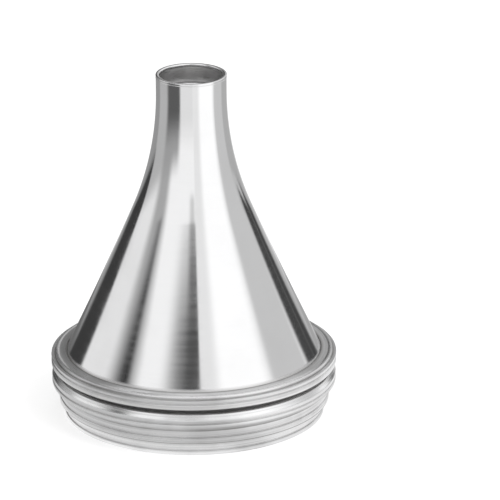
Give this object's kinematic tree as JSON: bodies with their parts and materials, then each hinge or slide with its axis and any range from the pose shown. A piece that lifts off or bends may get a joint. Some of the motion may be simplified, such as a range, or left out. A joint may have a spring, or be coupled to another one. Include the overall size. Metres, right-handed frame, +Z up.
{
  "type": "ear speculum",
  "caption": "Nest of conical metal ear specula in graded sizes, each a spun funnel with a grooved grip ring at its wide end, slipped one over another, wide end down.",
  "frame": {"origin": "on the table, on the common axis of the nest", "axes": "+Z up along the common axis, from the wide ends to the tips; +Y away from the picture's camera"},
  "size_m": [0.033, 0.033, 0.0407],
  "materials": {
    "funnel_metal": "polished plated metal",
    "ring_metal": "turned and grooved plated metal"
  },
  "bodies": {
    "speculum_size_1": {"funnel_size_1": "funnel_metal", "grip_ring_size_1": "ring_metal"},
    "speculum_size_2": {"funnel_size_2": "funnel_metal", "grip_ring_size_2": "ring_metal"},
    "speculum_size_3": {"funnel_size_3": "funnel_metal", "grip_ring_size_3": "ring_metal"},
    "speculum_size_4": {"funnel_size_4": "funnel_metal", "grip_ring_size_4": "ring_metal"}
  },
  "joints": [
    {"name": "lift_size_2", "type": "slide", "parent": "speculum_size_1", "child": "speculum_size_2", "axis": [0, 0, 1], "range_m": [0, 0.036]},
    {"name": "lift_size_3", "type": "slide", "parent": "speculum_size_2", "child": "speculum_size_3", "axis": [0, 0, 1], "range_m": [0, 0.036]},
    {"name": "lift_size_4", "type": "slide", "parent": "speculum_size_3", "child": "speculum_size_4", "axis": [0, 0, 1], "range_m": [0, 0.036]}
  ]
}
